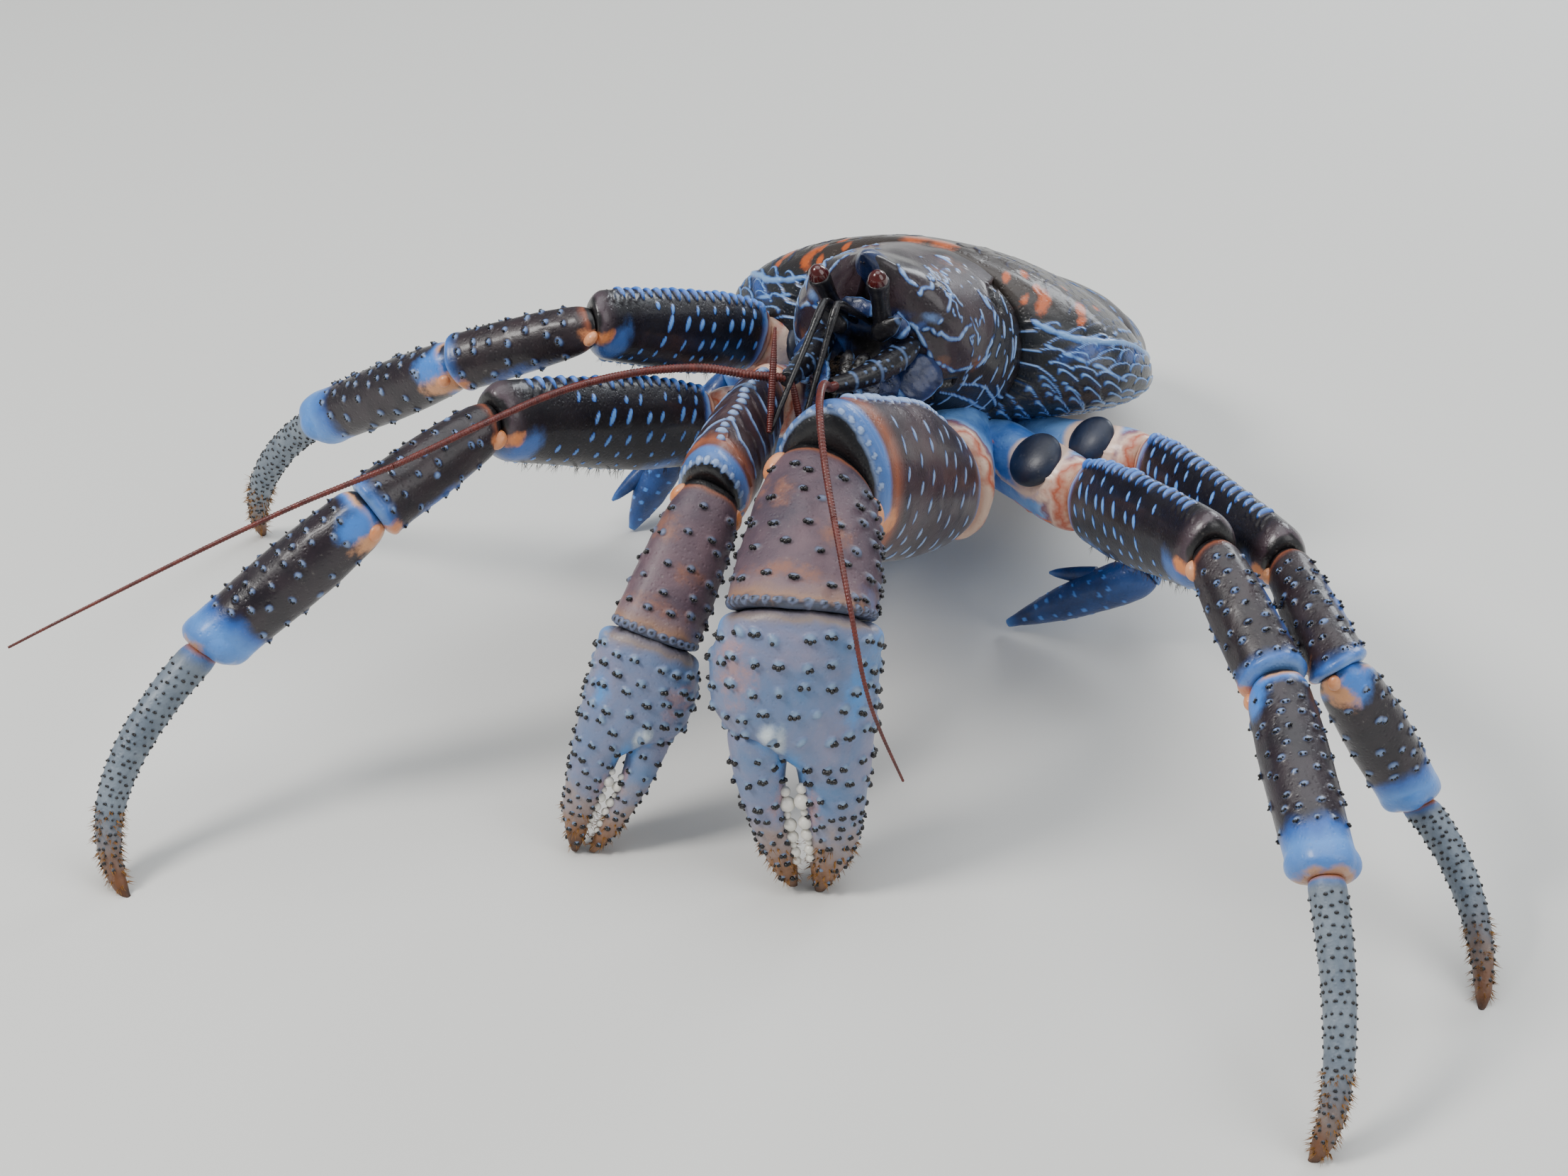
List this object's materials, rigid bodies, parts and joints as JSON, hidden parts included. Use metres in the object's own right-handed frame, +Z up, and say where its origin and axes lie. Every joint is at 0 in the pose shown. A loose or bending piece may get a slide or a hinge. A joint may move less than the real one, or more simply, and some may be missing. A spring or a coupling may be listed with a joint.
{
  "type": "coconut crab",
  "caption": "Life-size coconut crab standing on its walking legs, claws down, abdomen tucked behind: a still museum-style animal model.",
  "frame": {"origin": "on the floor under the middle of the crab's bounding box", "axes": "-Y the way the head faces, +X the crab's left, +Z up"},
  "size_m": [0.4324, 0.403, 0.136],
  "materials": {
    "shell": "hard shell, purple-brown to black, satin, with raised light-blue lines and orange patches",
    "breast": "blue shell plates under the body",
    "joint_blue": "bright blue shell with pink and orange bands at the joints",
    "leg_dark": "black-purple shell with raised blue spots",
    "dactyl_grey": "blue-grey shell set with small black points, tips brown-orange",
    "claw_brown": "pinkish-brown shell with dark tubercles and blue-grey rims",
    "claw_blue": "blue-grey shell with dark tubercles, tips brown-orange",
    "eye_red": "dark red glossy eye",
    "stalk_dark": "near-black shell",
    "feeler_red": "red-brown ringed feeler"
  },
  "bodies": {
    "root": {"abdomen_1": "shell", "abdomen_2": "shell", "abdomen_3": "shell", "abdomen_4": "shell", "abdomen_5": "shell", "antenna_base_left": "stalk_dark", "antenna_base_right": "stalk_dark", "antenna_left_inner": "feeler_red", "antenna_left_outer": "feeler_red", "antenna_right_inner": "feeler_red", "antenna_right_outer": "feeler_red", "antennule_left": "stalk_dark", "antennule_right": "stalk_dark", "carapace_front": "shell", "carapace_rear": "shell", "claw_left_base": "joint_blue", "claw_left_carpus": "claw_brown", "claw_left_finger": "claw_blue", "claw_left_merus": "claw_brown", "claw_left_palm": "claw_blue", "claw_right_base": "joint_blue", "claw_right_carpus": "claw_brown", "claw_right_finger": "claw_blue", "claw_right_merus": "claw_brown", "claw_right_palm": "claw_blue", "eye_left": "eye_red", "eye_right": "eye_red", "eyestalk_left": "stalk_dark", "eyestalk_right": "stalk_dark", "leg_front_left_base": "joint_blue", "leg_front_left_carpus": "leg_dark", "leg_front_left_dactyl": "dactyl_grey", "leg_front_left_merus": "leg_dark", "leg_front_left_propodus": "leg_dark", "leg_front_right_base": "joint_blue", "leg_front_right_carpus": "leg_dark", "leg_front_right_dactyl": "dactyl_grey", "leg_front_right_merus": "leg_dark", "leg_front_right_propodus": "leg_dark", "leg_rear_left_base": "joint_blue", "leg_rear_left_carpus": "leg_dark", "leg_rear_left_dactyl": "dactyl_grey", "leg_rear_left_merus": "leg_dark", "leg_rear_left_propodus": "leg_dark", "leg_rear_right_base": "joint_blue", "leg_rear_right_carpus": "leg_dark", "leg_rear_right_dactyl": "dactyl_grey", "leg_rear_right_merus": "leg_dark", "leg_rear_right_propodus": "leg_dark", "mouth_limb_left": "joint_blue", "mouth_limb_right": "joint_blue", "small_leg_left_arm": "joint_blue", "small_leg_left_hand": "joint_blue", "small_leg_left_wrist": "joint_blue", "small_leg_right_arm": "joint_blue", "small_leg_right_hand": "joint_blue", "small_leg_right_wrist": "joint_blue", "sternum": "breast", "telson": "shell"}
  },
  "joints": []
}
